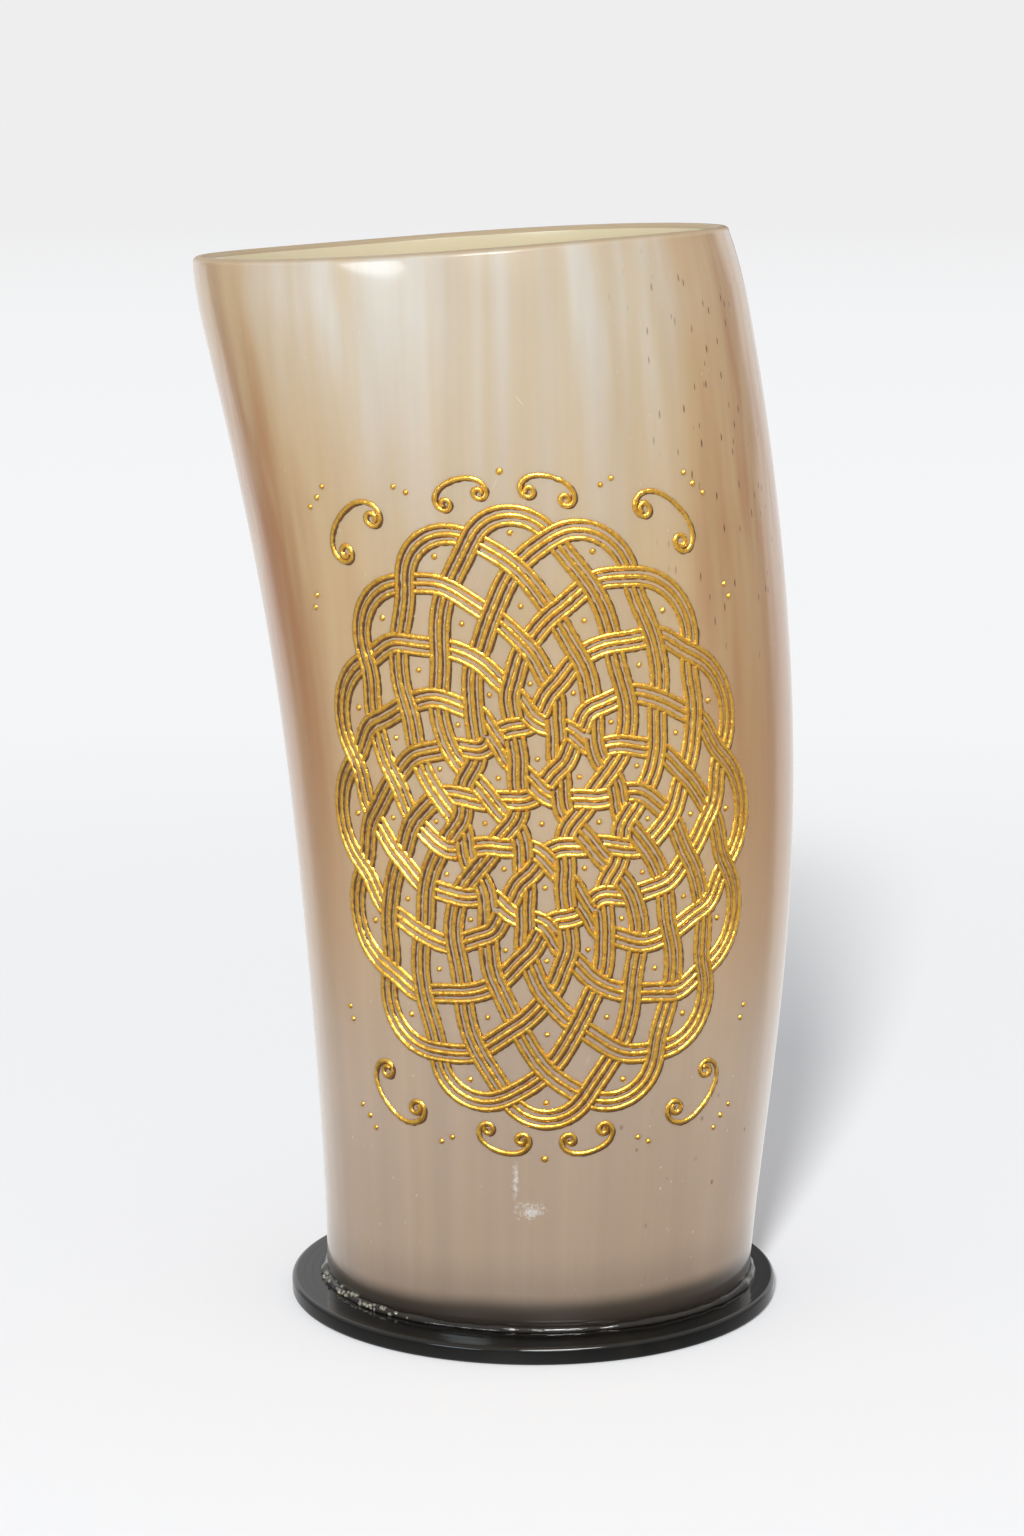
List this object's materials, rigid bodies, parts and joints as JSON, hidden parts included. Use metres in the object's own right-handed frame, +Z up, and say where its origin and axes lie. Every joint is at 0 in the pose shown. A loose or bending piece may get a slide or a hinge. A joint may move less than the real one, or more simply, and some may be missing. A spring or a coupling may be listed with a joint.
{
  "type": "horn drinking cup",
  "caption": "Tall open beaker cut from cattle horn, a bent oval tube closed by an inner plug and glued upright on a round black foot disc, with gilt knotwork on its front.",
  "frame": {"origin": "centre of the flat underside of the foot disc", "axes": "+Z up through the cup, the decorated front towards -Y, the mouth leaning towards -X"},
  "size_m": [0.0876, 0.0735, 0.1591],
  "materials": {
    "horn": "polished and lacquered cattle horn, translucent, with fine streaks along its growth",
    "black_foot": "polished black horn",
    "clear_glue": "glossy set adhesive",
    "gilding": "bright gold leaf on raised lines"
  },
  "bodies": {
    "root": {"horn_wall": "horn", "foot_disc": "black_foot", "foot_plug": "black_foot", "outer_glue_bead": "clear_glue", "inner_seal_bead": "clear_glue"}
  },
  "joints": []
}
